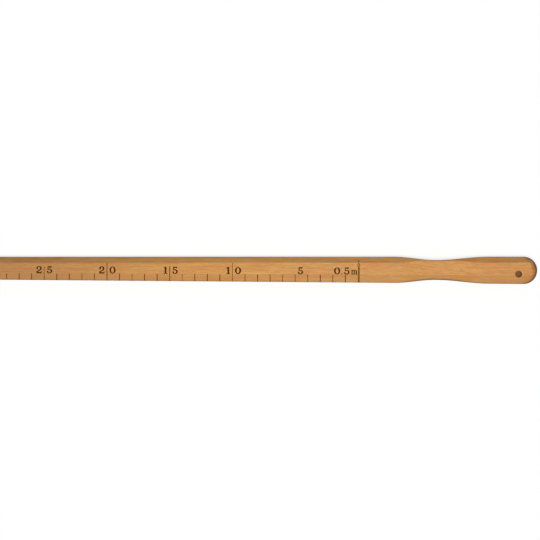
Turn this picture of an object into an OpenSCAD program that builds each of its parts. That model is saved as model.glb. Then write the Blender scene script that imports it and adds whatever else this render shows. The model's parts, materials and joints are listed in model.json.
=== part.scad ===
// Half-metre wooden measuring stick with a waisted handle.
// The stick lies on its back along X, with the zero of the scale at X = 0.
// The scale runs to -X and the handle to +X. Y = 0 is the centre line, the graduated
// edge is at -Y and the bevelled edge at +Y. Z = 0 is the back, and the scale faces +Z.

/* [Scale] */
// Length of the scale, from the zero mark to the tip
scale_length = 500; // [300:10:700]
// Length past the zero mark to the end of the handle
handle_length = 143; // [125:1:180]

/* [Wood] */
// Width at the tip
tip_width = 16.5; // [14:0.5:22]
// Width at the handle's round end
butt_width = 21.8; // [18:0.2:30]
// Thickness of the wood
thickness = 9; // [7:0.5:14]

/* [Bevels] */
// Width of the bevel along the upper edge, seen from the front
edge_bevel_width = 4.8; // [3:0.1:6]
// Angle of the bevel along the upper edge
edge_bevel_angle = 43; // [20:1:50]
// Distance from the centre line down to the scale bevel
scale_bevel_start = 4.1; // [3:0.1:6]
// Angle of the scale bevel along the lower edge
scale_bevel_angle = 7; // [3:0.5:15]

/* [Waist of the handle] */
// Width at the narrowest place
waist_width = 15.8; // [12:0.1:18]
// Distance from the zero mark to the narrowest place
waist_at = 62.5; // [50:0.5:75]
// Length of the curve on the blade's side
waist_blade_run = 34; // [20:1:45]
// Length of the curve on the round end's side
waist_end_run = 42; // [25:1:48]
// Dip of the front face at the waist
waist_front_dip = 2.3; // [0.5:0.1:3]
// Dip of the back face at the waist
waist_back_dip = 0.8; // [0.3:0.1:2]

/* [Hanging hole] */
// Diameter of the hole
hole_d = 5; // [3:0.5:8]
// Distance from the hole's centre to the end of the handle
hole_from_end = 15; // [10:0.5:20]
// Distance from the centre line down to the hole's centre
hole_below_centre = 3.1; // [0:0.1:4]
// Chamfer around both mouths of the hole
hole_chamfer = 0.4; // [0.1:0.1:1]

/* [Marks] */
// Width of the graduation lines
line_width = 0.7; // [0.3:0.05:0.8]
// Height above the centre line of the five-centimetre lines
five_line_top = 2; // [1:0.1:4]
// Gap between the ten-centimetre lines and the edge of the upper bevel
line_end_gap = 0.1; // [0.05:0.05:0.3]
// Depth of the stamped grooves
groove_depth = 0.3; // [0.15:0.05:0.6]
// Distance of the ink's surface below the wood
ink_recess = 0.05; // [0.01:0.01:0.1]

/* [Zero mark] */
// Width of the zero line
zero_line_width = 1.3; // [0.5:0.1:1.5]
// Height of the zero line above the centre line
zero_line_top = 2; // [0.5:0.1:3]
// Height of the small nought on top of the zero line
nought_height = 3.6; // [2:0.1:4]
// Gap between the edge of the upper bevel and the last stroke
stroke_gap = 0.6; // [0.1:0.1:1]
// Length of the last stroke, on the upper bevel
stroke_length = 1; // [0.5:0.1:2.5]

/* [Numerals] */
// Height of the numerals
numeral_height = 5.7; // [4:0.1:6.5]
// Gap between the edge of the scale bevel and the foot of the numerals
numeral_lift = 0.2; // [0.1:0.05:1]
// Gap between a graduation line and the numerals beside it
numeral_gap = 1.9; // [1:0.1:2.5]
// Gap between the characters of the length mark
letter_gap = 1; // [0.5:0.1:1.5]

/* [Brass tip] */
// Length of the brass cap along the stick
cap_length = 8; // [6:0.5:12]
// Thickness of the brass
cap_thickness = 0.7; // [0.4:0.1:1]
// Diameter of the two pins
pin_d = 1.5; // [1:0.1:2]
// Distance between the two pins
pin_spacing = 4.4; // [3:0.1:5]
// Chamfer at both ends of a pin
pin_chamfer = 0.15; // [0.05:0.05:0.3]

/* [Hidden] */
cm = 10;
margin = 1;
waist_steps = 16;
$fn = 64;

total_length = scale_length + handle_length;
butt_r = butt_width / 2;
butt_x = handle_length - butt_r;
tip_x = -scale_length;
cap_end = scale_length - cap_length;
taper = (butt_width - tip_width) / (butt_x - tip_x) / 2;
hole_x = handle_length - hole_from_end;
scale_bevel_y = -scale_bevel_start;
foot_y = scale_bevel_y + numeral_lift;
short_line_top = scale_bevel_y + numeral_lift / 2;

// Half the stick's width at x, before the waist is cut
function half_width(x) = tip_width / 2 + taper * (x - tip_x);

// Height at x of the edge between the front face and the upper bevel
function edge_bevel_y(x) = half_width(x) - edge_bevel_width;

// Stations along the waist, each with its share of the full cut
WAIST = [
    for (i = [-waist_steps:waist_steps])
        let (u = i / waist_steps)
            [waist_at + u * (u < 0 ? waist_blade_run : waist_end_run), (1 + cos(180 * u)) / 2]
];
waist_cut = half_width(waist_at) - waist_width / 2;

// Lines and numerals that lie on wood, clear of the cap
last_line = floor((cap_end - line_width) / cm);
CENTIMETRES = [for (n = [1:last_line]) if (n % 5 != 0) n];
FIVES = [for (n = [1:last_line]) if (n % 10 == 5) n];
TENS = [for (n = [1:last_line]) if (n % 10 == 0) n];
NUMBERS = [for (n = [5:5:last_line]) if (n * cm + numeral_gap + numeral_height < cap_end) n];
LENGTH_MARK = str(scale_length / 1000, "m");

function numeral_name(n) = str("numeral_", n < 10 ? "0" : "", n);

WOOD = [0.80, 0.58, 0.36];
INK = [0.29, 0.18, 0.08];
BRASS = [0.78, 0.62, 0.32];

// Outer form of the stick

// Outline without the waist and the round end
module plain_outline() {
    polygon([
        [tip_x, -tip_width / 2],
        [butt_x, -butt_r],
        [butt_x, butt_r],
        [tip_x, tip_width / 2]
    ]);
}

// One long edge of the outline, above or below the centre line as side is 1 or -1
function edge_points(side) = concat(
    [[tip_x, side * tip_width / 2]],
    [for (w = WAIST) [w.x, side * (half_width(w.x) - waist_cut * w.y)]],
    [[butt_x, side * butt_r]]
);

function reversed(points) = [for (i = [len(points) - 1:-1:0]) points[i]];

module waisted_outline() {
    polygon(concat(edge_points(-1), reversed(edge_points(1))));
    translate([butt_x, 0])
        circle(r = butt_r);
}

// The stick seen from its long edge, with both faces dipping at the waist
module side_profile() {
    left = tip_x - margin;
    right = handle_length + margin;
    back = [for (w = WAIST) [w.x, waist_back_dip * w.y]];
    front = [for (w = WAIST) [w.x, thickness - waist_front_dip * w.y]];
    polygon(concat(
        [[left, 0]],
        back,
        [[right, 0], [right, thickness]],
        reversed(front),
        [[left, thickness]]
    ));
}

// Section of what a plane cuts off that starts at the origin and falls at an angle
module slope_section(angle, reach) {
    fall = tan(angle);
    polygon([
        [-margin, margin * fall],
        [reach, -reach * fall],
        [reach, margin * fall]
    ]);
}

module edge_bevel_cut() {
    translate([tip_x, tip_width / 2 - edge_bevel_width, thickness])
        rotate([0, 0, atan(taper)])
            translate([-margin, 0, 0])
                rotate([90, 0, 90])
                    linear_extrude(total_length + 3 * margin)
                        slope_section(edge_bevel_angle, edge_bevel_width + margin);
}

module scale_bevel_cut() {
    translate([handle_length + margin, scale_bevel_y, thickness])
        rotate([90, 0, -90])
            linear_extrude(total_length + 2 * margin)
                slope_section(scale_bevel_angle, butt_width);
}

// The whole form, as if the cap were wood
module stick_form() {
    difference() {
        intersection() {
            linear_extrude(thickness)
                waisted_outline();
            rotate([90, 0, 0])
                linear_extrude(butt_width + 2 * margin, center = true)
                    side_profile();
        }
        edge_bevel_cut();
        scale_bevel_cut();
    }
}

// The form without its waist and round end, lifted along Z
module blade_form(lift) {
    translate([0, 0, lift])
        difference() {
            linear_extrude(thickness)
                plain_outline();
            edge_bevel_cut();
            scale_bevel_cut();
        }
}

// Characters, in heights of a numeral: upright strokes are broad and level ones fine

broad = 0.25;
fine = 0.115;

// Points along part of an ellipse
function arc(centre, rx, ry, from, to, steps = 14) = [
    for (i = [0:steps])
        let (a = from + (to - from) * i / steps)
            centre + [rx * cos(a), ry * sin(a)]
];

// Points around a whole ellipse
function oval(centre, rx, ry, sides = 40) =
    arc(centre, rx, ry, 0, 360 - 360 / sides, sides - 1);

// Points along a cubic curve
function curve(a, b, c, d, steps = 10) = [
    for (i = [0:steps])
        let (t = i / steps, s = 1 - t)
            s * s * s * a + 3 * s * s * t * b + 3 * s * t * t * c + t * t * t * d
];

function heading(path, i) =
    let (d = path[min(i + 1, len(path) - 1)] - path[max(i - 1, 0)])
        d / norm(d);

// From a point of a path to the left side of its stroke, which is widest where it runs upright
function to_side(path, i, widest) =
    let (h = heading(path, i), w = fine + (widest - fine) * h.y * h.y)
        [-h.y, h.x] * w / 2;

module stroke(path, widest = broad) {
    last = len(path) - 1;
    right = [for (i = [0:last]) path[i] - to_side(path, i, widest)];
    left = [for (i = [last:-1:0]) path[i] + to_side(path, i, widest)];
    polygon(concat(right, left));
}

module ring(centre, rx, ry, upright = broad, level = fine) {
    difference() {
        polygon(oval(centre, rx, ry));
        polygon(oval(centre, rx - upright, ry - level));
    }
}

module ball(centre, r) {
    translate(centre)
        circle(r = r, $fn = 24);
}

module block(x0, x1, y0, y1) {
    translate([x0, y0])
        square([x1 - x0, y1 - y0]);
}

function glyph_width(c) =
    c == "." ? 0.16 :
    c == "1" ? 0.52 :
    c == "0" || c == "4" || c == "m" ? 0.88 : 0.82;

module nought() {
    ring([0.44, 0.5], 0.44, 0.5);
}

// A narrow nought with an even stroke, centred on x = 0, in its own heights
narrow_stroke = 0.2;

module narrow_nought() {
    ring([0, 0.5], 0.3, 0.5, narrow_stroke, narrow_stroke);
}

module one() {
    block(0.15, 0.15 + broad, 0, 1);
    block(0, 0.52, 0, fine);
    polygon([[0.3, 1], [0.18, 1], [0, 0.82], [0, 0.76], [0.15, 0.76]]);
}

module two() {
    bowl = arc([0.42, 0.7], 0.26, 0.255, 175, 10);
    stroke(concat(bowl, curve([0.67, 0.62], [0.62, 0.42], [0.22, 0.4], [0.1, 0.14])));
    ball([0.19, 0.69], 0.12);
    polygon([[0.03, 0], [0.78, 0], [0.82, 0.32], [0.75, 0.32], [0.7, 0.19], [0.13, 0.19]]);
}

module three() {
    stroke(arc([0.38, 0.74], 0.24, 0.215, 160, -90));
    stroke(arc([0.37, 0.29], 0.3, 0.245, 90, -160));
    ball([0.17, 0.77], 0.11);
    ball([0.13, 0.24], 0.12);
}

module four() {
    block(0.46, 0.46 + broad, 0, 1);
    block(0.04, 0.86, 0.25, 0.25 + fine);
    block(0.33, 0.82, 0, fine);
    polygon([[0.04, 0.25], [0.15, 0.25], [0.6, 1], [0.48, 1]]);
}

module five() {
    stroke(arc([0.39, 0.32], 0.28, 0.275, 140, -160));
    ball([0.15, 0.23], 0.12);
    block(0.13, 0.13 + fine, 0.47, 0.9);
    polygon([[0.13, 0.82], [0.69, 0.82], [0.74, 1], [0.13, 1]]);
}

module six() {
    ring([0.42, 0.32], 0.4, 0.32);
    stroke(arc([0.5, 0.42], 0.37, 0.535, 190, 60));
    ball([0.66, 0.82], 0.11);
}

module seven() {
    stroke(curve([0.7, 0.88], [0.52, 0.6], [0.38, 0.45], [0.38, 0]));
    block(0.04, 0.78, 0.82, 1);
    block(0.04, 0.12, 0.66, 1);
}

module eight() {
    ring([0.41, 0.76], 0.33, 0.24);
    ring([0.41, 0.275], 0.4, 0.275);
}

module nine() {
    translate([glyph_width("6"), 1])
        rotate(180)
            six();
}

// The sign of the metre, three stems with two arches
module metre() {
    stem = 0.17;
    height = 0.62;
    pitch = 0.3;
    serif = 0.06;
    for (i = [0:2])
        translate([serif + i * pitch, 0]) {
            block(0, stem, 0, height - (i > 0 ? stem : 0));
            block(-serif, stem + serif, 0, serif);
        }
    for (i = [0.5, 1.5])
        stroke(arc([serif + stem / 2 + i * pitch, height - 0.19], pitch / 2, 0.145, 180, 0), stem);
    block(0, serif + stem, height - serif, height);
}

module glyph(c) {
    if (c == "0") nought();
    if (c == "1") one();
    if (c == "2") two();
    if (c == "3") three();
    if (c == "4") four();
    if (c == "5") five();
    if (c == "6") six();
    if (c == "7") seven();
    if (c == "8") eight();
    if (c == "9") nine();
    if (c == ".") ball([0.08, 0.08], 0.08);
    if (c == "m") metre();
}

// Marks, drawn flat in their places

module character(c, x) {
    translate([x, foot_y])
        scale(numeral_height)
            glyph(c);
}

// Two digits stand on either side of their line, and a single digit to its right
module numeral_marks(n) {
    units = str(n % 10);
    tens = str(floor(n / 10));
    character(units, -n * cm + numeral_gap);
    if (n >= 10)
        character(tens, -n * cm - numeral_gap - glyph_width(tens) * numeral_height);
}

// Room that the length mark takes from its character number i to its end
function mark_room(i) =
    i == len(LENGTH_MARK) ? letter_gap / 2 :
    glyph_width(LENGTH_MARK[i]) * numeral_height + (i > 0 ? letter_gap : 0) + mark_room(i + 1);

module length_marks() {
    for (i = [0:len(LENGTH_MARK) - 1])
        character(LENGTH_MARK[i], (i > 0 ? letter_gap : 0) - mark_room(i));
}

// A line that runs up from beyond the graduated edge
module line(x, width, top) {
    block(x - width / 2, x + width / 2, -butt_width, top);
}

module centimetre_marks() {
    for (n = CENTIMETRES)
        line(-n * cm, line_width, short_line_top);
}

// The single digit's line stays short, and the others run up between their two digits
module five_marks() {
    for (n = FIVES)
        line(-n * cm, line_width, n < 10 ? short_line_top : five_line_top);
}

module ten_marks() {
    for (n = TENS)
        line(-n * cm, line_width, edge_bevel_y(-n * cm) - line_end_gap);
}

// A broad line whose scale side is the true zero, a small nought and a last stroke
module zero_marks() {
    middle = zero_line_width / 2;
    line(middle, zero_line_width, zero_line_top);
    translate([middle, zero_line_top - narrow_stroke / 2 * nought_height])
        scale(nought_height)
            narrow_nought();
    stroke_y = edge_bevel_y(middle) + stroke_gap;
    block(0, zero_line_width, stroke_y, stroke_y + stroke_length);
}

module all_marks() {
    centimetre_marks();
    five_marks();
    ten_marks();
    zero_marks();
    length_marks();
    for (n = NUMBERS)
        numeral_marks(n);
}

// Marks in the wood

// Flat marks as prisms that pass through the front
module through_front() {
    translate([0, 0, thickness / 2])
        linear_extrude(thickness)
            children();
}

// Ink that lies in its groove, a hair below the wood
module ink() {
    color(INK)
        difference() {
            intersection() {
                through_front()
                    children();
                blade_form(-ink_recess);
            }
            blade_form(-groove_depth);
        }
}

module grooves() {
    difference() {
        through_front()
            all_marks();
        blade_form(-groove_depth);
    }
}

// Brass tip

pin_x = tip_x + cap_length / 2;
pin_y = (scale_bevel_y + edge_bevel_y(pin_x)) / 2;

module at_pins() {
    for (side = [-1, 1])
        translate([pin_x, pin_y + side * pin_spacing / 2, 0])
            children();
}

module pin_holes() {
    at_pins()
        translate([0, 0, -margin])
            cylinder(h = thickness + 2 * margin, d = pin_d);
}

// The wood that the cap is folded over
module wood_under_cap() {
    intersection() {
        blade_form(-cap_thickness);
        blade_form(cap_thickness);
        translate([tip_x + cap_thickness, -butt_width, 0])
            cube([cap_length, 2 * butt_width, thickness]);
    }
}

module cap_room() {
    difference() {
        translate([tip_x - margin, -butt_width, -margin])
            cube([cap_length + margin, 2 * butt_width, thickness + 2 * margin]);
        wood_under_cap();
    }
}

// Hanging hole

module hole_mouth() {
    translate([0, 0, -margin])
        cylinder(
            h = margin + hole_chamfer,
            r1 = hole_d / 2 + hole_chamfer + margin,
            r2 = hole_d / 2
        );
}

module hanging_hole() {
    translate([hole_x, -hole_below_centre, 0]) {
        translate([0, 0, -margin])
            cylinder(h = thickness + 2 * margin, d = hole_d);
        hole_mouth();
        translate([0, 0, thickness])
            mirror([0, 0, 1])
                hole_mouth();
    }
}

// Sub-parts

module wooden_bar() {
    color(WOOD)
        difference() {
            stick_form();
            grooves();
            hanging_hole();
            cap_room();
            pin_holes();
        }
}

module tip_cap() {
    color(BRASS)
        difference() {
            intersection() {
                blade_form(0);
                cap_room();
            }
            pin_holes();
        }
}

module pin() {
    r = pin_d / 2;
    cylinder(h = pin_chamfer, r1 = r - pin_chamfer, r2 = r);
    translate([0, 0, pin_chamfer])
        cylinder(h = thickness - 2 * pin_chamfer, r = r);
    translate([0, 0, thickness - pin_chamfer])
        cylinder(h = pin_chamfer, r1 = r, r2 = r - pin_chamfer);
}

module tip_pins() {
    color(BRASS)
        at_pins()
            pin();
}

wooden_bar();
tip_cap();
tip_pins();
ink() zero_marks();  // zero_mark
ink() length_marks();  // length_mark
ink() centimetre_marks();  // centimetre_lines
ink() five_marks();  // five_centimetre_lines
ink() ten_marks();  // ten_centimetre_lines
for (n = NUMBERS)
    ink() numeral_marks(n);
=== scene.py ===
"""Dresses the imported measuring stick: its wooden bar, stamped marks, brass tip and a plain stage"""
import json
import math
from collections import namedtuple

import bmesh
import bpy
from bpy.props import FloatProperty
from bpy.props import FloatVectorProperty
from bpy.props import PointerProperty
from mathutils import Matrix
from mathutils import Vector


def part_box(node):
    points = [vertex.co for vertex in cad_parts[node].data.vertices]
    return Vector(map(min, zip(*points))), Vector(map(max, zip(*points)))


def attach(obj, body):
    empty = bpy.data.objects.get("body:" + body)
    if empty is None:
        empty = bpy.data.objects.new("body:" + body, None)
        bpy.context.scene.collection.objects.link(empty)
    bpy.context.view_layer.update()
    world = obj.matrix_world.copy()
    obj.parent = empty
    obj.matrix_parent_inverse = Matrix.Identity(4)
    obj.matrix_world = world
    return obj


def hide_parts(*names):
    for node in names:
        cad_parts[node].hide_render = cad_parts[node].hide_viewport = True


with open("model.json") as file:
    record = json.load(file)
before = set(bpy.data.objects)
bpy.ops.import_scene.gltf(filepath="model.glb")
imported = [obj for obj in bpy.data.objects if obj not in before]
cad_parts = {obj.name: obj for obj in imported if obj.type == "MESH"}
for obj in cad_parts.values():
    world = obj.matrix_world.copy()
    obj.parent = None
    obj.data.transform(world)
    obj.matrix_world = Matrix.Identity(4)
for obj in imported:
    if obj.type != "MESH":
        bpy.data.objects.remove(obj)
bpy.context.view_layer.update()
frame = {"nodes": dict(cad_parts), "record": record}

bl_info = {
    "name": "Measuring stick",
    "version": (1, 0, 0),
    "blender": (4, 5, 0),
    "location": "3D View > Sidebar > Stick",
    "description": "Builds the looks of a half-metre wooden measuring stick on its packed solids",
    "category": "Object",
}

MM = 0.001
QUARTER = math.pi / 2

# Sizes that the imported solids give
TIP_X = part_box("tip_cap")[0].x
CAP_END_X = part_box("tip_cap")[1].x
END_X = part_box("wooden_bar")[1].x
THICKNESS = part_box("wooden_bar")[1].z
BUTT_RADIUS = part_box("wooden_bar")[1].y
BUTT_X = END_X - BUTT_RADIUS
HOLE = next(m for m in frame["record"]["mounts"] if m["name"] == "hanging_hole")
HOLE_AT = Vector(HOLE["pos_m"])
HOLE_RADIUS = HOLE["dims"]["r_mm"] * MM

# Sizes of the stick that the solids share with this script
TIP_WIDTH = 16.5 * MM
EDGE_BEVEL_WIDTH = 4.8 * MM
EDGE_BEVEL_ANGLE = math.radians(43)
SCALE_BEVEL_START = 4.1 * MM
SCALE_BEVEL_ANGLE = math.radians(7)
WAIST_WIDTH = 15.8 * MM
WAIST_AT = 62.5 * MM
WAIST_BLADE_RUN = 34 * MM
WAIST_END_RUN = 42 * MM
WAIST_FRONT_DIP = 2.3 * MM
WAIST_BACK_DIP = 0.8 * MM
INK_RECESS = 0.05 * MM
CAP_THICKNESS = 0.7 * MM

# How fast half the width grows along the stick, and what the waist takes from half the width
TAPER = (BUTT_RADIUS - TIP_WIDTH / 2) / (BUTT_X - TIP_X)
WAIST_CUT = TIP_WIDTH / 2 + TAPER * (WAIST_AT - TIP_X) - WAIST_WIDTH / 2

# Where the graduated edge starts to take the handle's rounding, and the share of its own rounding
# that the rim of the tip takes
HANDLE_FROM = 5 * MM
TIP_ROUNDING = 0.7

# Steps of the stick's mesh
CENTIMETRE = 10 * MM
WAIST_STEPS = 16
END_STEPS = 36
FOOT_STEPS = 2
RIM_STEPS = 4
BACK_STEPS = 5
HOLE_STEPS = 48
EASE_STEPS = 4
SOFT_STEPS = 2

# How near vertices merge, how far cutters reach past what they cut, and what angle stays sharp
MERGE = 0.001 * MM
CLEAR = 1 * MM
SHARP_ANGLE = math.radians(35)

# How far up a mark's front faces look at least, and how near the graduated edge its end lies
FACES_UP = 0.5
EDGE_NEARNESS = 0.1 * MM

# Growth rings: their heart's place beside and below the stick, their width, how far they sway,
# how far along the stick they keep their look, and the noise and the darkness of their range
RING_HEART = (-70 * MM, -20 * MM)
RING_WIDTH = 0.9 * MM
RING_SWAY = 3.5 * MM
RING_LENGTH = 200 * MM
RING_NOISE = (0.3, 0.72)
RING_DARKNESS = (0.1, 0.75)

# Noise drawn out to a length and a width in millimetres, moved by an offset. Where it goes from
# low to high, the pattern goes from least to most.
Pattern = namedtuple(
    "Pattern", "length width offset low high least most", defaults=(0.0, 1.0, 0.0, 1.0)
)
RING_WANDER = Pattern(170, 20, 3.1)
WARM_STREAKS = Pattern(13, 0.8, 9.4, low=0.4, most=0.6)
YELLOW_PATCHES = Pattern(30, 3.5, 17.2, low=0.3, high=0.9, most=0.6)
FIBRE_ENDS = Pattern(8, 1.1, 2.2, low=0.55, high=0.95, most=0.5)
FIBRES = [
    Pattern(50, 0.6, 0.0, least=0.92, most=1.07),
    Pattern(10, 0.5, 5.3, least=0.88, most=1.11),
    Pattern(4, 0.2, 1.7, least=0.86, most=1.12),
]
FLECKS = Pattern(3.2, 0.32, 11.9, low=0.96, most=0.55)
PORES = Pattern(9, 0.22, 2.4, least=0.52, most=0.64)
BEVEL_WEAR_AND_SHEEN = Pattern(14, 1.6, 12.6, low=0.1, high=0.9, least=0.1, most=0.5)
# Patches of the painted shade on the rim round the end of the handle
RIM_SHADE_PATCHES = Pattern(5, 4, 6.2, least=0.3, most=0.65)
INK_WEAR = Pattern(7, 16, 71.3, low=0.9, high=1.2, most=0.75)
INK_BLOTS = Pattern(0.8, 0.35, 4.4, low=0.4, most=0.2)
TARNISH_PATCHES = Pattern(5, 4, 8.2, low=0.35, high=0.9, least=0.05, most=0.6)
FILE_MARKS = Pattern(6, 0.09, 6.6)

# A range over which a change of the wood grows from none to most
Range = namedtuple("Range", "low high most", defaults=(1.0,))

# Along the stick
WARMER_TOWARDS_TIP = Range(-30 * MM, -100 * MM, 0.2)
DARKER_TOWARDS_TIP = Range(-100 * MM, -300 * MM, 0.41)
STAINED_END = Range(90 * MM, 110 * MM, 0.28)
STAINED_PAST_HOLE = Range(HOLE_AT.x, BUTT_X + 2 * MM)
# Places along the stick where dirt and painted shade darken the outline
DIRT_AND_SHADE_PLACES = [
    Range(20 * MM, 50 * MM, 0.5),
    Range(BUTT_X - 3 * MM, BUTT_X + 4 * MM, 1.4),
    Range(-10 * MM, -60 * MM, 0.5),
]
# Where the painted shade on the end's rim grows along the stick
RIM_SHADE_END = Range(BUTT_X, BUTT_X + 0.7 * BUTT_RADIUS)

# Across the stick
# Where the painted shade on the graduated edge's bevel begins
SCALE_BEVEL_SHADE = Range(-SCALE_BEVEL_START + 0.3 * MM, -SCALE_BEVEL_START - 0.3 * MM)
STAINED_BELOW = Range(0.0, -4 * MM, 0.6)
# How the dirt and painted shade under the waist grow towards the lower side
DIRT_AND_SHADE_BELOW = Range(4 * MM, -4 * MM, 0.8)

# Inwards from the stick's outline
# Band inside the outline that dirt and painted shade darken
DIRT_AND_SHADE_RIM = Range(1.8 * MM, 0.4 * MM)
# Band inside the outline that the painted shade on the end's rim covers, and how far its patches move
# it
RIM_SHADE_BAND = Range(3.4 * MM, 1.8 * MM)
RIM_SHADE_SWAY = -2 * MM

# By the way that the wood faces: upwards on the upper bevel, and along the stick where it is cut
BEVEL_FACES = Range(0.3, 0.6)
CUT_ACROSS = Range(0.15, 0.9, 0.6)

# Shares of warmth and darkness in the painted shade on the graduated edge's bevel, of light wood and
# painted highlight on rubbed edges, of painted shade in the hole
SCALE_BEVEL_SHADE_WARMTH = 0.25
SCALE_BEVEL_SHADE_DARKNESS = 0.4
RUBBED_AND_HIGHLIGHT = 0.15
HOLE_WALL_SHADE = 0.5

# Middle and reach of the stretches of the scale where the ink is rubbed thinnest, the share of the
# reach that is thinnest, and how much the lines' wear counts there
THIN_STRETCHES = [(-95.5 * MM, 9 * MM), (-140 * MM, 6 * MM), (-180 * MM, 6 * MM)]
THIN_CORE = 0.6
THIN_WEAR = 1.6

# Roughness of whole and thin ink, and of clean and tarnished brass
INK_ROUGHNESS = (0.7, 0.5)
BRASS_ROUGHNESS = (0.3, 0.48)

# Where a Mix node keeps its share, its two colours and its result
MIX_SHARE = 0
MIX_FIRST = 6
MIX_SECOND = 7
MIX_RESULT = 2

# Stage: the floor's size, the share of the lamp's light that it gives back, and the glow that
# makes up the rest of its white; the lamp's direction; the camera's aim, height and turn
FLOOR_SIZE = 12
FLOOR_LIT = (0.29, 0.31)
FLOOR_GLOW = 0.7
TOWARDS_LAMP = Vector((0, -0.18, 1)).normalized()
LAMP_SPREAD = math.radians(30)
VIEW_CENTRE = Vector((-70.1 * MM, -0.54 * MM, THICKNESS))
CAMERA_HEIGHT = 3.0
CAMERA_TURN = math.radians(0.2275)

# Marks that are cut to the softened wood, and marks that stay as packed
LINE_NODES = ["zero_mark", "centimetre_lines", "five_centimetre_lines", "ten_centimetre_lines"]
INK_NODES = sorted(n for n in frame["nodes"] if n.startswith("numeral_")) + ["length_mark"]


def tone(red, green, blue):
    """A colour given in steps from 0 to 255, as the linear values that materials use"""
    levels = (red / 255, green / 255, blue / 255)
    return [v / 12.92 if v <= 0.04045 else ((v + 0.055) / 1.055) ** 2.4 for v in levels]


def size_property(name, description, millimetres, low, high):
    """A length that the user may change, in metres as Blender holds it"""
    return FloatProperty(
        name=name,
        description=description,
        default=millimetres * MM,
        min=low * MM,
        max=high * MM,
        subtype="DISTANCE",
        precision=5,
    )


def colour_property(name, description, red, green, blue):
    """A colour that the user may change"""
    return FloatVectorProperty(
        name=name,
        description=description,
        default=tone(red, green, blue),
        min=0,
        max=1,
        size=3,
        subtype="COLOR",
    )


def share_property(name, description, default):
    """An amount between none and full"""
    return FloatProperty(
        name=name, description=description, default=default, min=0, max=1, subtype="FACTOR"
    )


class WoodSettings(bpy.types.PropertyGroup):
    """Softened edges and colours of the wooden bar"""

    side_rounding: size_property(
        "Edge rounding", "Radius of the softened long edges", 0.9, 0.2, 1.2
    )
    scale_rounding: size_property(
        "Scale edge rounding", "Radius of the graduated edge", 0.35, 0.1, 0.9
    )
    end_rounding: size_property("End rounding", "Radius of the rim of the round end", 3, 0.5, 3.5)
    hole_rounding: size_property("Hole rounding", "Radius of the hole's eased mouths", 0.5, 0.2, 1)
    light_wood: colour_property("Light wood", "Colour of the light grain", 210, 149, 77)
    dark_wood: colour_property("Dark wood", "Colour of the dark grain", 188, 122, 54)
    orange_wood: colour_property("Orange wood", "Colour of the warm streaks", 204, 124, 54)
    yellow_wood: colour_property("Yellow wood", "Colour of the yellowish patches", 203, 154, 76)
    # Also the painted sheen on the upper bevel
    worn_wood_and_sheen: colour_property("Worn wood", "Colour of the worn bevel", 192, 152, 112)
    # Also the warm tint of the painted shade on the graduated edge's bevel, and of the wood towards
    # the tip
    varnish: colour_property("Varnish", "Colour that the varnish yellows to", 198, 134, 16)
    # Also the darkening of the painted shade on the graduated edge's bevel, and of the wood towards
    # the tip
    darker_wood_and_shade: colour_property("Aged wood", "Colour that the varnish ages to", 120, 74, 34)
    fleck: colour_property("Flecks", "Colour of the small dark flecks", 124, 74, 34)
    # Also the colour of the painted shade on the rim round the end
    end_grain_and_shade: colour_property("End grain", "Colour of the wood cut across", 110, 68, 32)
    stain: colour_property("Stain", "Colour of the stain that the hand leaves", 170, 96, 26)
    # Also the colour of the painted shade along the outline and in the hole
    dirt_and_shade: colour_property("Grime", "Colour of the dirt on held edges", 92, 68, 44)
    # Also sets the strength of the painted shade on the graduated edge's bevel and along the outline
    handling_and_shade: share_property("Handling", "Amount of dirt where the stick is held and slid", 0.5)


class InkSettings(bpy.types.PropertyGroup):
    """Colours of the stamped marks"""

    numeral_ink: colour_property("Numeral ink", "Colour of the ink in the numerals", 68, 36, 3)
    line_ink: colour_property("Line ink", "Colour of the ink in the lines", 100, 49, 5)
    zero_ink: colour_property("Zero ink", "Colour of the ink in the zero mark", 112, 78, 34)
    thin_ink: colour_property("Thin ink", "Colour of ink that is worn thin", 152, 96, 42)
    line_wear: share_property("Wear of the lines", "Share of the lines that is worn thin", 0.4)
    numeral_wear: share_property(
        "Wear of the numerals", "Share of the numerals that is worn thin", 0
    )


class BrassSettings(bpy.types.PropertyGroup):
    """Edges and colours of the brass tip"""

    brass: colour_property("Brass", "Colour of the clean brass", 214, 178, 106)
    tarnish: colour_property("Tarnish", "Colour of the tarnished brass", 140, 104, 56)
    edge_width: size_property("Edge width", "Width of the broken edges", 0.12, 0.05, 0.3)


class StageSettings(bpy.types.PropertyGroup):
    """Camera, light and floor"""

    view_width: size_property("View width", "Width that the camera sees", 430.3, 100, 900)
    floor: colour_property("Floor", "Colour of the floor", 255, 255, 255)
    hole_shade: colour_property(
        "Hole shade", "Colour of the floor seen through the hole", 130, 88, 54
    )
    key_share: share_property("Key share", "Share of the light that comes from the lamp", 0.75)


def new_group(name, inputs, output):
    """A node group whose named inputs and output are numbers, and its two end nodes"""
    tree = bpy.data.node_groups.new(name, "ShaderNodeTree")
    for label, default in inputs.items():
        socket = tree.interface.new_socket(label, in_out="INPUT", socket_type="NodeSocketFloat")
        socket.default_value = default
    tree.interface.new_socket(output, in_out="OUTPUT", socket_type="NodeSocketFloat")
    return tree, tree.nodes.new("NodeGroupInput"), tree.nodes.new("NodeGroupOutput")


def fill(tree, node, inputs):
    """Sets a node's inputs to values, or links them to sockets"""
    for name, value in inputs.items():
        if isinstance(value, bpy.types.NodeSocket):
            tree.links.new(value, node.inputs[name])
        else:
            node.inputs[name].default_value = value


def add(tree, kind, inputs=None, **settings):
    """A new node with its settings and its inputs"""
    made = tree.nodes.new("ShaderNode" + kind)
    for name, value in settings.items():
        setattr(made, name, value)
    fill(tree, made, inputs or {})
    return made


def compute(tree, operation, *values):
    """The result of a Math node"""
    return add(tree, "Math", dict(enumerate(values)), operation=operation).outputs[0]


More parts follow.
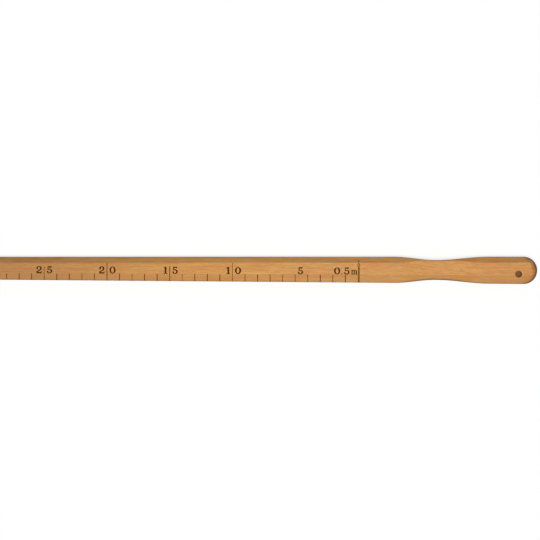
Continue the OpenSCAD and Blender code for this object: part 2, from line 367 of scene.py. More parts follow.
def compute_vector(tree, operation, *values, output="Vector"):
    """The result of a Vector Math node, as the vector or the value that it gives"""
    made = add(tree, "VectorMath", dict(enumerate(values)), operation=operation)
    return made.outputs[output]


def object_place(tree):
    """The shaded point in the piece's own coordinates"""
    return add(tree, "TexCoord").outputs["Object"]


def parts_of(tree, vector):
    """A vector's three numbers"""
    return add(tree, "SeparateXYZ", {0: vector}).outputs


def length_of(tree, first, second):
    """The length of a vector with these two components"""
    pair = add(tree, "CombineXYZ", {"X": first, "Y": second}).outputs[0]
    return compute_vector(tree, "LENGTH", pair, output="Value")


def distance_from(tree, middle, first, second):
    """Distance from a middle, measured along two coordinates"""
    out = [compute(tree, "SUBTRACT", value, at) for value, at in zip((first, second), middle)]
    return length_of(tree, *out)


def fade(tree, value, low, high, least=0.0, most=1.0):
    """A number that goes smoothly from least to most as the value goes from low to high"""
    inputs = {
        "Value": value,
        "From Min": low,
        "From Max": high,
        "To Min": least,
        "To Max": most,
    }
    return add(tree, "MapRange", inputs, interpolation_type="SMOOTHSTEP").outputs[0]


def blend(tree, share, first, second, kind="MIX"):
    """Two colours mixed by a share"""
    colours = [c if isinstance(c, bpy.types.NodeSocket) else (*c, 1) for c in (first, second)]
    inputs = {MIX_SHARE: share, MIX_FIRST: colours[0], MIX_SECOND: colours[1]}
    return add(tree, "Mix", inputs, data_type="RGBA", blend_type=kind).outputs[MIX_RESULT]


def tinted(tree, colour, tint, *shares):
    """A colour carried towards a tint by the product of the shares"""
    share, *others = shares
    for other in others:
        share = compute(tree, "MULTIPLY", share, other)
    return blend(tree, share, colour, tint)


def shaded(tree, colour, grey):
    """A colour made lighter or darker by a grey value"""
    shade = add(tree, "CombineColor", dict.fromkeys(("Red", "Green", "Blue"), grey)).outputs[0]
    return blend(tree, 1.0, colour, shade, "MULTIPLY")


def make_streaks(name):
    """Drawn-out noise, with the middle half of its values spread from none to full"""
    inputs = {"Length": 30 * MM, "Width": 1 * MM, "Offset": 0.0}
    tree, start, end = new_group(name, inputs, "Value")
    across = start.outputs["Width"]
    size = add(tree, "CombineXYZ", {"X": start.outputs["Length"], "Y": across, "Z": across})
    scaled = compute_vector(tree, "DIVIDE", object_place(tree), size.outputs[0])
    moved = compute_vector(tree, "ADD", scaled, start.outputs["Offset"])
    noise = add(tree, "TexNoise", {"Vector": moved, "Scale": 1.0, "Detail": 2.0, "Roughness": 0.55})
    fill(tree, end, {"Value": fade(tree, noise.outputs[0], 0.25, 0.75)})
    return tree


def make_edges(name):
    """A mask of the edges, from the difference between a softened normal and the true one"""
    tree, start, end = new_group(name, {"Radius": 1 * MM}, "Mask")
    soft = add(tree, "Bevel", {"Radius": start.outputs["Radius"]}, samples=4).outputs[0]
    true = add(tree, "NewGeometry").outputs["Normal"]
    alike = compute_vector(tree, "DOT_PRODUCT", soft, true, output="Value")
    fill(tree, end, {"Mask": fade(tree, alike, 0.999, 0.9)})
    return tree


def shared_group(name, make):
    """The node group of that name, made the first time that it is asked for"""
    return bpy.data.node_groups.get(name) or make(name)


def drawn(tree, pattern):
    """A pattern's noise, from none to full"""
    inputs = {
        "Length": pattern.length * MM,
        "Width": pattern.width * MM,
        "Offset": pattern.offset,
    }
    return add(tree, "Group", inputs, node_tree=shared_group("Streaks", make_streaks)).outputs[0]


def fitted(tree, noise, pattern):
    """A pattern's noise carried from its low and high to its least and most"""
    return fade(tree, noise, pattern.low, pattern.high, pattern.least, pattern.most)


def patterned(tree, pattern):
    """A pattern from its least to its most"""
    return fitted(tree, drawn(tree, pattern), pattern)


def grown(tree, value, change, strength=1.0):
    """How far a change has grown at a value in its range"""
    return fade(tree, value, change.low, change.high, most=change.most * strength)


def edge_mask(tree, radius):
    """The mask of the edges in a material, for a radius in millimetres"""
    group = shared_group("Edges", make_edges)
    return add(tree, "Group", {"Radius": radius * MM}, node_tree=group).outputs[0]


def bumped(tree, height, strength, depth):
    """A normal that follows a height, its depth in millimetres"""
    inputs = {"Strength": strength, "Distance": depth * MM, "Height": height}
    return add(tree, "Bump", inputs).outputs[0]


def new_material(name):
    """A material with an empty tree and its shader"""
    material = bpy.data.materials.new(name)
    material.use_nodes = True
    tree = material.node_tree
    tree.nodes.clear()
    shader = add(tree, "BsdfPrincipled")
    add(tree, "OutputMaterial", {"Surface": shader.outputs[0]})
    return material, tree, shader


def outline_distance(tree, x, y):
    """Distance inside the stick's outline, and the share of the waist's cut at x

    The outline tapers, draws in at the waist and ends in a half circle.
    """
    half = compute(tree, "MULTIPLY_ADD", compute(tree, "SUBTRACT", x, TIP_X), TAPER, TIP_WIDTH / 2)
    before = compute(tree, "DIVIDE", compute(tree, "SUBTRACT", WAIST_AT, x), WAIST_BLADE_RUN)
    behind = compute(tree, "DIVIDE", compute(tree, "SUBTRACT", x, WAIST_AT), WAIST_END_RUN)
    away = compute(tree, "MINIMUM", compute(tree, "MAXIMUM", before, behind), 1.0)
    wave = compute(tree, "COSINE", compute(tree, "MULTIPLY", away, math.pi))
    share = compute(tree, "MULTIPLY_ADD", wave, 0.5, 0.5)
    side = compute(tree, "SUBTRACT", half, compute(tree, "MULTIPLY", share, WAIST_CUT))
    from_side = compute(tree, "SUBTRACT", side, compute(tree, "ABSOLUTE", y))
    past = compute(tree, "MAXIMUM", compute(tree, "SUBTRACT", x, BUTT_X), 0.0)
    from_end = compute(tree, "SUBTRACT", BUTT_RADIUS, length_of(tree, past, y))
    return compute(tree, "MINIMUM", from_side, from_end), share


def grain_colour(tree, wood, x, y, z, waist):
    """Colour of the clean wood: growth rings, warm streaks, yellow patches, fibres and flecks"""
    from_heart = distance_from(tree, RING_HEART, y, z)
    wandering = compute(tree, "MULTIPLY_ADD", drawn(tree, RING_WANDER), RING_SWAY, from_heart)
    place = add(tree, "CombineXYZ", {
        "X": compute(tree, "DIVIDE", wandering, RING_WIDTH),
        "Y": compute(tree, "DIVIDE", x, RING_LENGTH),
    })
    rings = add(tree, "TexNoise", {"Vector": place.outputs[0], "Scale": 1.0, "Detail": 2.0})
    darkness = fade(tree, rings.outputs[0], *RING_NOISE, *RING_DARKNESS)
    colour = blend(tree, darkness, wood.light_wood, wood.dark_wood)
    colour = tinted(tree, colour, wood.orange_wood, patterned(tree, WARM_STREAKS))
    colour = tinted(tree, colour, wood.yellow_wood, patterned(tree, YELLOW_PATCHES))

    # Where the waist cuts through the fibres, their ends show as short dark dashes
    colour = tinted(tree, colour, wood.dark_wood, patterned(tree, FIBRE_ENDS), waist)
    for fibres in FIBRES:
        colour = shaded(tree, colour, patterned(tree, fibres))
    return tinted(tree, colour, wood.fleck, patterned(tree, FLECKS))


def handled_and_shaded_colour(tree, wood, x, y, inside, waist, colour):
    """Colour after use, with the stains and dirt that hands leave, and painted shade on the graduated
    edge's bevel and along the outline
    """
    # Painted shade makes the graduated edge's bevel warmer and darker
    slid = grown(tree, y, SCALE_BEVEL_SHADE)
    colour = tinted(tree, colour, wood.varnish, slid, SCALE_BEVEL_SHADE_WARMTH)
    colour = tinted(tree, colour, wood.darker_wood_and_shade, slid, SCALE_BEVEL_SHADE_DARKNESS * wood.handling_and_shade)

    # The hand has stained the round end, most of all past the hole on its lower side
    below = grown(tree, y, STAINED_BELOW, wood.handling_and_shade)
    past_hole = compute(tree, "MULTIPLY", grown(tree, x, STAINED_PAST_HOLE), below)
    at_end = grown(tree, x, STAINED_END, wood.handling_and_shade)
    colour = tinted(tree, colour, wood.stain, compute(tree, "ADD", at_end, past_hole))

    # Rubbed edges are lighter with wear and a painted highlight, but held edges are darkened by dirt
    # and painted shade along the outline, most of all under the waist
    colour = tinted(tree, colour, wood.light_wood, edge_mask(tree, radius=0.5), RUBBED_AND_HIGHLIGHT)
    held = compute(tree, "MULTIPLY", waist, grown(tree, y, DIRT_AND_SHADE_BELOW, wood.handling_and_shade))
    for place in DIRT_AND_SHADE_PLACES:
        held = compute(tree, "ADD", held, grown(tree, x, place, wood.handling_and_shade))
    return tinted(tree, colour, wood.dirt_and_shade, held, grown(tree, inside, DIRT_AND_SHADE_RIM))


def wood_colour(tree, wood):
    """Colour of the wood as it is used, and how far it is cut across the grain"""
    x, y, z = parts_of(tree, object_place(tree))
    inside, waist = outline_distance(tree, x, y)
    colour = grain_colour(tree, wood, x, y, z, waist)

    # Towards the tip the wood turns warmer and darker
    colour = tinted(tree, colour, wood.varnish, grown(tree, x, WARMER_TOWARDS_TIP))
    colour = tinted(tree, colour, wood.darker_wood_and_shade, grown(tree, x, DARKER_TOWARDS_TIP))
    colour = handled_and_shaded_colour(tree, wood, x, y, inside, waist, colour)

    # The upper bevel is worn pale in streaks that also paint a sheen on it, and wood cut across soaks
    # up more varnish
    along, up, _ = parts_of(tree, add(tree, "TexCoord").outputs["Normal"])
    bevel = grown(tree, up, BEVEL_FACES)
    colour = tinted(tree, colour, wood.worn_wood_and_sheen, bevel, patterned(tree, BEVEL_WEAR_AND_SHEEN))
    cut = grown(tree, compute(tree, "ABSOLUTE", along), CUT_ACROSS)
    colour = tinted(tree, colour, wood.end_grain_and_shade, cut)

    # Painted shade darkens the rim round the end of the handle, unevenly
    uneven = drawn(tree, RIM_SHADE_PATCHES)
    reach = compute(tree, "MULTIPLY_ADD", uneven, RIM_SHADE_SWAY, inside)
    rim_shade = [
        grown(tree, reach, RIM_SHADE_BAND),
        fitted(tree, uneven, RIM_SHADE_PATCHES),
        grown(tree, x, RIM_SHADE_END),
    ]
    colour = tinted(tree, colour, wood.end_grain_and_shade, *rim_shade)

    # Painted shade darkens the hole's eased mouth towards its wall
    from_hole = distance_from(tree, HOLE_AT.xy, x, y)
    mouth = HOLE_RADIUS + wood.hole_rounding
    dirt = fade(tree, from_hole, mouth, HOLE_RADIUS, most=HOLE_WALL_SHADE)
    return tinted(tree, colour, wood.dirt_and_shade, dirt), cut


def wood_material(wood):
    """Beech with a satin varnish"""
    material, tree, shader = new_material("Beech")
    colour, cut = wood_colour(tree, wood)
    pores = drawn(tree, PORES)
    polish = fitted(tree, pores, PORES)
    fill(tree, shader, {
        "Base Color": colour,
        "Roughness": compute(tree, "MULTIPLY_ADD", cut, 0.15, polish),
        "Normal": bumped(tree, pores, strength=0.25, depth=0.05),
        "IOR": 1.45,
        "Specular IOR Level": 0.28,
        "Coat Weight": 0.1,
        "Coat Roughness": 0.35,
    })
    return material


def ink_material(name, ink, thin_ink, wear):
    """Dark ink that has sunk into the wood, and is worn thin here and there along the scale"""
    material, tree, shader = new_material(name)
    low, high = INK_WEAR.low - wear, INK_WEAR.high - wear
    worn = fade(tree, drawn(tree, INK_WEAR), low, high, most=INK_WEAR.most)
    blots = patterned(tree, INK_BLOTS)
    thin = compute(tree, "ADD", worn, blots)
    x, _, _ = parts_of(tree, object_place(tree))
    for middle, reach in THIN_STRETCHES:
        away = compute(tree, "ABSOLUTE", compute(tree, "SUBTRACT", x, middle))
        rubbed = fade(tree, away, reach, THIN_CORE * reach, most=THIN_WEAR * wear)
        thin = compute(tree, "ADD", thin, rubbed)
    fill(tree, shader, {
        "Base Color": blend(tree, thin, ink, thin_ink),
        "Roughness": fade(tree, thin, 0.0, 1.0, *INK_ROUGHNESS),
        "Normal": bumped(tree, blots, strength=0.3, depth=0.04),
        "Specular IOR Level": 0.05,
    })
    return material


def brass_material(brass):
    """Filed brass with tarnish in patches and bright worn edges"""
    material, tree, shader = new_material("Brass")
    off_edges = compute(tree, "SUBTRACT", 1.0, edge_mask(tree, radius=0.4))
    dull = compute(tree, "MULTIPLY", patterned(tree, TARNISH_PATCHES), off_edges)
    file_marks = drawn(tree, FILE_MARKS)
    polish = fade(tree, dull, 0.0, TARNISH_PATCHES.most, *BRASS_ROUGHNESS)
    fill(tree, shader, {
        "Base Color": blend(tree, dull, brass.brass, brass.tarnish),
        "Roughness": compute(tree, "MULTIPLY_ADD", file_marks, 0.08, polish),
        "Normal": bumped(tree, file_marks, strength=0.2, depth=0.03),
        "Metallic": 1.0,
    })
    return material


def half_width(x):
    """Half the stick's width at x, before the waist is cut"""
    return TIP_WIDTH / 2 + TAPER * (x - TIP_X)


def waist_share(x):
    """Share of the waist's full cut at x, from none beside it to all at its narrowest place"""
    run = WAIST_BLADE_RUN if x < WAIST_AT else WAIST_END_RUN
    return (1 + math.cos(math.pi * min(abs(x - WAIST_AT) / run, 1))) / 2


def smooth_step(value, low, high):
    """Rises smoothly from none at low to all at high"""
    share = min(max((value - low) / (high - low), 0), 1)
    return share * share * (3 - 2 * share)


def half_section(reach, foot, fall, front, back, rounding):
    """Half of the stick's section from front to back, as distances from the centre line and heights

    The front falls from foot to the edge by that slope, and the three corners are rounded. Where
    the fall is cut away, its corner and the edge's corner run together.
    """
    tilt = math.atan(fall)
    inner = reach - rounding
    foot_place = min(foot - rounding * math.tan(tilt / 2), inner)
    falling = front - fall * (inner - foot) - rounding / math.cos(tilt)
    corners = [
        (foot_place, front - rounding, QUARTER, QUARTER - tilt, FOOT_STEPS),
        (inner, min(falling, front - rounding), QUARTER - tilt, 0, RIM_STEPS),
        (inner, back + rounding, 0, -QUARTER, BACK_STEPS),
    ]
    points = [(0, front)]
    for across, height, first, last, steps in corners:
        for step in range(steps + 1):
            angle = first + (last - first) * step / steps
            out, up = rounding * math.cos(angle), rounding * math.sin(angle)
            points.append((across + out, height + up))
    return points + [(0, back)]


def long_edge_section(x, side, wood):
    """The half section at x above or below the centre line, as side is 1 or -1"""
    share = waist_share(x)
    reach = half_width(x) - WAIST_CUT * share
    front = THICKNESS - WAIST_FRONT_DIP * share
    back = WAIST_BACK_DIP * share
    if side > 0:
        fall = math.tan(EDGE_BEVEL_ANGLE)
        foot = half_width(x) - EDGE_BEVEL_WIDTH
        rounding = wood.side_rounding
    else:
        fall = math.tan(SCALE_BEVEL_ANGLE)
        foot = SCALE_BEVEL_START
        handle = smooth_step(x, HANDLE_FROM, WAIST_AT - WAIST_BLADE_RUN)
        rounding = wood.scale_rounding + (wood.side_rounding - wood.scale_rounding) * handle
    return half_section(reach, foot + (THICKNESS - front) / fall, fall, front, back, rounding)


def end_section(angle, wood):
    """The section of the round end, along a ray at that angle from the middle of its circle"""
    above = math.sin(angle) - TAPER * math.cos(angle)
    if above > 0:
        rate = above
        fall = math.tan(EDGE_BEVEL_ANGLE) * rate
        foot = (half_width(BUTT_X) - EDGE_BEVEL_WIDTH) / rate
    else:
        rate = max(-math.sin(angle), MERGE)
        fall = math.tan(SCALE_BEVEL_ANGLE) * rate
        foot = SCALE_BEVEL_START / rate
    towards_end = math.cos(angle) ** 2
    rounding = wood.side_rounding + (wood.end_rounding - wood.side_rounding) * towards_end
    return half_section(BUTT_RADIUS, foot, fall, THICKNESS, 0, rounding)


def long_edge_places():
    """Places along the stick where its section is set, from the tip to the round end's circle

    On the blade they lie halfway between the lines, so no line's groove meets one.
    """
    first = math.ceil(TIP_X / CENTIMETRE)
    last = math.floor((WAIST_AT - WAIST_BLADE_RUN) / CENTIMETRE - 0.5)
    blade = [(step + 0.5) * CENTIMETRE for step in range(first, last + 1)]
    shares = [step / WAIST_STEPS for step in range(WAIST_STEPS + 1)]
    towards_blade = [WAIST_AT - WAIST_BLADE_RUN * share for share in reversed(shares[1:])]
    towards_end = [WAIST_AT + WAIST_END_RUN * share for share in shares]
    middle_of_butt = (towards_end[-1] + BUTT_X) / 2
    return [TIP_X, *blade, *towards_blade, *towards_end, middle_of_butt, BUTT_X]


def stick_stations(wood):
    """Origin, direction and half section at each place round the outline, from tip to tip"""
    places = long_edge_places()
    upper = [(x, QUARTER, long_edge_section(x, 1, wood)) for x in places]
    turns = [QUARTER - math.pi * step / END_STEPS for step in range(1, END_STEPS)]
    end = [(BUTT_X, turn, end_section(turn, wood)) for turn in turns]
    lower = [(x, -QUARTER, long_edge_section(x, -1, wood)) for x in reversed(places)]
    return upper + end + lower


def extruded(bm, chain):
    """A chain of vertices extruded once, as the new chain in the same order"""
    edges_of_chain = [bm.edges.get(pair) for pair in zip(chain, chain[1:])]
    made = bmesh.ops.extrude_edge_only(bm, edges=edges_of_chain)["geom"]
    fresh = {item for item in made if isinstance(item, bmesh.types.BMVert)}
    return [next(e.other_vert(v) for e in v.link_edges if e.other_vert(v) in fresh) for v in chain]


def stick_form(wood):
    """The whole stick as one softened block, before anything is cut into it"""
    bm = bmesh.new()
    chain = []
    for origin, angle, section in stick_stations(wood):
        ahead, aside = math.cos(angle), math.sin(angle)
        places = [Vector((origin + out * ahead, out * aside, height)) for out, height in section]
        if chain:
            chain = extruded(bm, chain)
            for vert, place in zip(chain, places):
                vert.co = place
        else:
            chain = [bm.verts.new(place) for place in places]
            for pair in zip(chain, chain[1:]):
                bm.edges.new(pair)
    bmesh.ops.remove_doubles(bm, verts=bm.verts, dist=MERGE)
    tip = bmesh.ops.holes_fill(bm, edges=[e for e in bm.edges if e.is_boundary], sides=0)["faces"]
    middle = [v for v in bm.verts if abs(v.co.x - BUTT_X) < MERGE and abs(v.co.y) < MERGE]
    bmesh.ops.dissolve_verts(bm, verts=middle)
    bmesh.ops.recalc_face_normals(bm, faces=bm.faces)
    bmesh.ops.bevel(
        bm,
        geom=[e for face in tip for e in face.edges],
        offset=wood.scale_rounding * TIP_ROUNDING,
        offset_type="OFFSET",
        segments=SOFT_STEPS,
        profile=0.5,
        affect="EDGES",
        material=-1,
    )
    return bm


def mesh_object(name, bm):
    """An object at the origin that takes the bmesh as its mesh"""
    mesh = bpy.data.meshes.new(name)
    bm.to_mesh(mesh)
    bm.free()
    made = bpy.data.objects.new(name, mesh)
    bpy.context.scene.collection.objects.link(made)
    return made


def cut_with(target, operation, bm):
    """Changes an object's mesh by a Boolean with another mesh"""
    tool = mesh_object("tool", bm)
    cut = target.modifiers.new("Cut", "BOOLEAN")
    cut.solver = "EXACT"
    cut.operation = operation
    cut.object = tool
    graph = bpy.context.evaluated_depsgraph_get()
    made = bpy.data.meshes.new_from_object(target.evaluated_get(graph))
    target.modifiers.clear()
    made.name = target.name
    old = target.data
    target.data = made
    bpy.data.meshes.remove(old)
    bpy.data.objects.remove(tool)
    if not made.polygons:
        raise RuntimeError(f"nothing is left of {target.name} after a cut")


def finish_piece(piece, material, slot_name, *nodes):
    """Shades a piece by its larger faces, and gives it its material, body and nodes"""
    mesh = piece.data
    mesh.materials.clear()
    mesh.materials.append(material)
    mesh.polygons.foreach_set("use_smooth", [True] * len(mesh.polygons))
    mesh.polygons.foreach_set("material_index", [0] * len(mesh.polygons))
    mesh.set_sharp_from_angle(angle=SHARP_ANGLE)
    shading = piece.modifiers.new("Shading", "WEIGHTED_NORMAL")
    shading.keep_sharp = True
    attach(piece, "root")
    if nodes:
        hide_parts(*nodes)


def merged_copy(*nodes):
    """A bmesh of the CAD nodes' meshes, with their loose triangles joined"""
    bm = bmesh.new()
    for node in nodes:
        bm.from_mesh(frame["nodes"][node].data)
    bmesh.ops.remove_doubles(bm, verts=bm.verts, dist=MERGE)
    return bm


def mark_cutter(*nodes):
    """The marks' solids, reaching out of the front and of the graduated edge"""
    bm = merged_copy(*nodes)
    front = {v for face in bm.faces if face.normal.z > FACES_UP for v in face.verts}
    bmesh.ops.translate(bm, verts=list(front), vec=(0, 0, CLEAR))
    at_edge = [v for v in bm.verts if v.co.y < -half_width(v.co.x) + EDGE_NEARNESS]
    bmesh.ops.translate(bm, verts=at_edge, vec=(0, -CLEAR, 0))
    return bm


def cut_away(bm, place, outward):
    """Cuts off what lies past a plane, and closes the cut"""
    cut = bmesh.ops.bisect_plane(
        bm,
        geom=[*bm.verts, *bm.edges, *bm.faces],
        plane_co=place,
        plane_no=outward,
        clear_outer=True,
    )
    cut_edges = [item for item in cut["geom_cut"] if isinstance(item, bmesh.types.BMEdge)]
    bmesh.ops.holes_fill(bm, edges=cut_edges, sides=0)


def block(low, high):
    """A box between two corners"""
    bm = bmesh.new()
    bmesh.ops.create_cube(bm, size=1)
    bmesh.ops.scale(bm, verts=bm.verts, vec=high - low)
    bmesh.ops.translate(bm, verts=bm.verts, vec=(low + high) / 2)
    return bm


def wood_under_cap():
    """The tongue of wood that the brass is folded over, open to both sides"""
    past_side = BUTT_RADIUS + CLEAR
    top = THICKNESS - CAP_THICKNESS
    bm = block(
        Vector((TIP_X + CAP_THICKNESS, -past_side, CAP_THICKNESS)),
        Vector((CAP_END_X + CLEAR, past_side, top)),
    )
    edge_foot = Vector((TIP_X, half_width(TIP_X) - EDGE_BEVEL_WIDTH, top))
    cut_away(bm, edge_foot, Vector((-TAPER, 1, 1 / math.tan(EDGE_BEVEL_ANGLE))))
    scale_foot = Vector((0, -SCALE_BEVEL_START, top))
    cut_away(bm, scale_foot, Vector((0, -1, 1 / math.tan(SCALE_BEVEL_ANGLE))))
    bmesh.ops.recalc_face_normals(bm, faces=bm.faces)
    return bm


def cap_room():
    """The space round the tongue that the brass takes"""
    past_side = BUTT_RADIUS + 2 * CLEAR
    room = block(
        Vector((TIP_X - CLEAR, -past_side, -CLEAR)),
        Vector((CAP_END_X, past_side, THICKNESS + CLEAR)),
    )
    made = mesh_object("room", room)
    cut_with(made, "DIFFERENCE", wood_under_cap())
    bm = bmesh.new()
    bm.from_mesh(made.data)
    bpy.data.objects.remove(made)
    return bm


def turned(profile, centre):
    """A profile of distances and heights turned once round a vertical axis"""
    bm = bmesh.new()
    chain = [bm.verts.new((centre.x + r, centre.y, h)) for r, h in profile]
    outline = [bm.edges.new(pair) for pair in zip(chain, chain[1:])]
    bmesh.ops.spin(
        bm,
        geom=[*chain, *outline],
        cent=(centre.x, centre.y, 0),
        axis=(0, 0, 1),
        angle=2 * math.pi,
        steps=HOLE_STEPS,
        use_merge=True,
    )
    bmesh.ops.remove_doubles(bm, verts=bm.verts, dist=MERGE)
    bmesh.ops.recalc_face_normals(bm, faces=bm.faces)
    return bm


def hole_cutter(ease):
    """What the hanging hole takes out of the wood, with a softly rounded mouth on both faces"""
    arc = [QUARTER * step / EASE_STEPS for step in range(EASE_STEPS + 1)]
    flare = [(HOLE_RADIUS + ease * (1 - math.cos(a)), ease * (1 - math.sin(a))) for a in arc]
    upper = [(r, THICKNESS - h) for r, h in flare]
    wide = HOLE_RADIUS + ease
    under, over = -CLEAR, THICKNESS + CLEAR
    profile = [(0, under), (wide, under), *reversed(flare), *upper, (wide, over), (0, over)]
    return turned(profile, HOLE_AT)


def pin_hole_cutter():
    """Both pins' holes, straight through the stick"""
    low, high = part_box("tip_pins")
    radius = (high.x - low.x) / 2
    bm = bmesh.new()
    for y in (low.y + radius, high.y - radius):
        place = Matrix.Translation(((low.x + high.x) / 2, y, THICKNESS / 2))
        bmesh.ops.create_cone(
            bm,
            cap_ends=True,
            segments=HOLE_STEPS,
            radius1=radius,
            radius2=radius,
            depth=THICKNESS + 2 * CLEAR,
            matrix=place,
        )
    return bm


def dress_node(name, material):
    """Gives a CAD node that stays in view its material and slot"""
    node = frame["nodes"][name]
    node.data.materials.clear()
    node.data.materials.append(material)


class STICK_OT_wooden_bar(bpy.types.Operator):
    """Builds the wooden bar with its softened edges, stamped grooves and hanging hole"""

    bl_idname = "stick.wooden_bar"
    bl_label = "Wooden Bar"

    def execute(self, context):
        wood = context.scene.stick_wood
        bar = mesh_object("sanded_bar", stick_form(wood))
        cut_with(bar, "DIFFERENCE", cap_room())
        cut_with(bar, "DIFFERENCE", hole_cutter(wood.hole_rounding))
        cut_with(bar, "DIFFERENCE", pin_hole_cutter())
        cut_with(bar, "DIFFERENCE", mark_cutter(*LINE_NODES, *INK_NODES))
        finish_piece(bar, wood_material(wood), "beech", "wooden_bar")
        return {"FINISHED"}


class STICK_OT_brass_tip(bpy.types.Operator):
    """Builds the brass cap that is folded over the tip, and dresses its two pins"""

    bl_idname = "stick.brass_tip"
    bl_label = "Brass Tip"

    def execute(self, context):
        brass = context.scene.stick_brass
        material = brass_material(brass)
        cap = mesh_object("folded_cap", stick_form(context.scene.stick_wood))
        cut_with(cap, "INTERSECT", cap_room())
        cut_with(cap, "DIFFERENCE", pin_hole_cutter())
        broken = cap.modifiers.new("Broken edges", "BEVEL")
        broken.width = brass.edge_width
        broken.segments = SOFT_STEPS
        broken.limit_method = "ANGLE"
        broken.angle_limit = SHARP_ANGLE
        finish_piece(cap, material, "brass", "tip_cap")
        dress_node("tip_pins", material)
        return {"FINISHED"}


class STICK_OT_marks(bpy.types.Operator):
    """Lays the ink in the grooves: lines cut to the softened form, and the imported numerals"""

    bl_idname = "stick.marks"
    bl_label = "Marks"

    def execute(self, context):
        wood = context.scene.stick_wood
        ink = context.scene.stick_ink
        line_ink = ink_material("Line ink", ink.line_ink, ink.thin_ink, ink.line_wear)
        numeral_ink = ink_material("Numeral ink", ink.numeral_ink, ink.thin_ink, ink.numeral_wear)
        zero_ink = ink_material("Zero ink", ink.zero_ink, ink.thin_ink, ink.numeral_wear)
        for node in LINE_NODES:
            lines = mesh_object("inked_" + node, mark_cutter(node))
            below = stick_form(wood)
            bmesh.ops.scale(below, verts=below.verts, vec=(1, 1 - INK_RECESS / BUTT_RADIUS, 1))
            bmesh.ops.translate(below, verts=below.verts, vec=(0, 0, -INK_RECESS))
            cut_with(lines, "INTERSECT", below)
            finish_piece(lines, zero_ink if node == "zero_mark" else line_ink, "ink", node)
        for node in INK_NODES:
            dress_node(node, numeral_ink)
        return {"FINISHED"}


def floor_material(stage):
    """White floor that shows full white to the camera, but for what is seen through the hole"""
    material, tree, shader = new_material("Floor")
    place = object_place(tree)
    x, y, _ = parts_of(tree, place)
    from_hole = distance_from(tree, HOLE_AT.xy, x, y)
    beyond = compute(tree, "GREATER_THAN", from_hole, HOLE_RADIUS + CLEAR)
    # Under the hole the floor takes the hole's painted shade, and glows with it to the camera like
    # the white around it
    colour = blend(tree, beyond, stage.hole_shade, stage.floor)
    mottle = add(tree, "TexNoise", {"Vector": place, "Scale": 0.75, "Detail": 3.0}).outputs[0]
    seen = add(tree, "LightPath").outputs["Is Camera Ray"]
    fill(tree, shader, {
        "Base Color": shaded(tree, colour, fade(tree, mottle, 0.0, 1.0, *FLOOR_LIT)),
        "Roughness": 0.9,
        "Specular IOR Level": 0.1,
        "Emission Color": colour,
        "Emission Strength": compute(tree, "MULTIPLY", seen, FLOOR_GLOW),
    })
    return material


def new_world(level):
    """White surroundings: full white where they are seen, a plain level where they give light"""
    world = bpy.data.worlds.new("Surroundings")
    world.use_nodes = True
    tree = world.node_tree
    tree.nodes.clear()
    path = add(tree, "LightPath")
    seen = compute(tree, "MAXIMUM", path.outputs["Is Camera Ray"], path.outputs["Is Glossy Ray"])
    seen = compute(tree, "MAXIMUM", seen, path.outputs["Is Transmission Ray"])
    strength = fade(tree, seen, 0.0, 1.0, least=level)
    background = add(tree, "Background", {"Color": (1, 1, 1, 1), "Strength": strength})
    add(tree, "OutputWorld", {"Surface": background.outputs[0]})
    return world


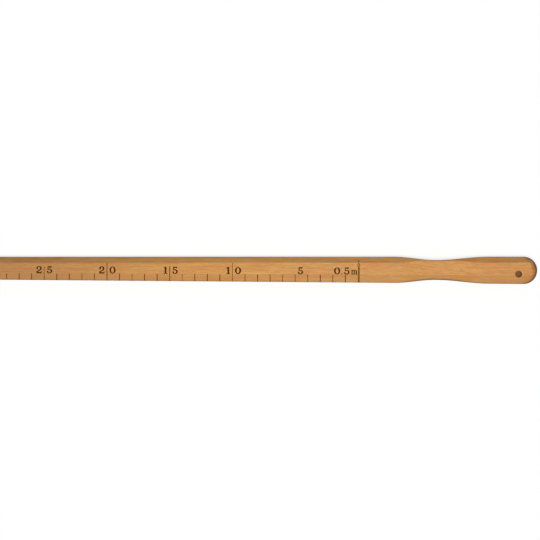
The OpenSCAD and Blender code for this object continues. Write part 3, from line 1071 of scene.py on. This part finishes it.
class STICK_OT_stage(bpy.types.Operator):
    """Sets up the floor, the lamp, the surroundings and the camera of the photograph"""

    bl_idname = "stick.stage"
    bl_label = "Stage"

    def execute(self, context):
        scene = context.scene
        stage = scene.stick_stage
        scene.view_settings.view_transform = "Standard"

        bm = bmesh.new()
        bmesh.ops.create_grid(bm, x_segments=1, y_segments=1, size=FLOOR_SIZE / 2)
        bmesh.ops.translate(bm, verts=bm.verts, vec=(0, 0, -INK_RECESS))
        floor = mesh_object("floor", bm)
        floor.data.materials.append(floor_material(stage))

        # The lamp shines from above, leaning towards the graduated edge
        lamp = bpy.data.lights.new("Key", "SUN")
        lamp.energy = stage.key_share * math.pi / TOWARDS_LAMP.z
        lamp.angle = LAMP_SPREAD
        key = bpy.data.objects.new("Key", lamp)
        key.rotation_euler = TOWARDS_LAMP.to_track_quat("Z", "Y").to_euler()
        scene.collection.objects.link(key)
        scene.world = new_world(1 - stage.key_share)

        # The camera looks straight down, a little turned, as in the photograph
        lens = bpy.data.cameras.new("Camera")
        lens.sensor_width = 36
        lens.lens = lens.sensor_width * CAMERA_HEIGHT / stage.view_width
        lens.clip_end = 100
        camera = bpy.data.objects.new("Camera", lens)
        camera.location = VIEW_CENTRE + Vector((0, 0, CAMERA_HEIGHT))
        camera.rotation_euler = (0, 0, CAMERA_TURN)
        scene.collection.objects.link(camera)
        scene.camera = camera
        return {"FINISHED"}


class STICK_PT_sidebar(bpy.types.Panel):
    """Lists the steps and their settings"""

    bl_idname = "STICK_PT_sidebar"
    bl_label = "Measuring Stick"
    bl_space_type = "VIEW_3D"
    bl_region_type = "UI"
    bl_category = "Stick"

    def draw(self, context):
        layout = self.layout
        for operator, settings in STEPS:
            box = layout.box()
            box.operator(operator.bl_idname)
            group = getattr(context.scene, settings)
            for name in group.__annotations__:
                box.prop(group, name)


# Each step's operator, and the scene's settings that it reads
STEPS = [
    (STICK_OT_wooden_bar, "stick_wood"),
    (STICK_OT_brass_tip, "stick_brass"),
    (STICK_OT_marks, "stick_ink"),
    (STICK_OT_stage, "stick_stage"),
]
SETTINGS = {
    "stick_wood": WoodSettings,
    "stick_brass": BrassSettings,
    "stick_ink": InkSettings,
    "stick_stage": StageSettings,
}


def register():
    """Registers the classes and adds the settings to the scene"""
    for name, kind in SETTINGS.items():
        bpy.utils.register_class(kind)
        setattr(bpy.types.Scene, name, PointerProperty(type=kind))
    for operator, _ in STEPS:
        bpy.utils.register_class(operator)
    bpy.utils.register_class(STICK_PT_sidebar)


def unregister():
    """Takes away what register adds"""
    bpy.utils.unregister_class(STICK_PT_sidebar)
    for operator, _ in reversed(STEPS):
        bpy.utils.unregister_class(operator)
    for name, kind in reversed(SETTINGS.items()):
        delattr(bpy.types.Scene, name)
        bpy.utils.unregister_class(kind)


def main():
    """Runs every step in order"""
    register()
    bpy.ops.stick.wooden_bar()
    bpy.ops.stick.brass_tip()
    bpy.ops.stick.marks()
    bpy.ops.stick.stage()


if __name__ == "__main__":
    main()
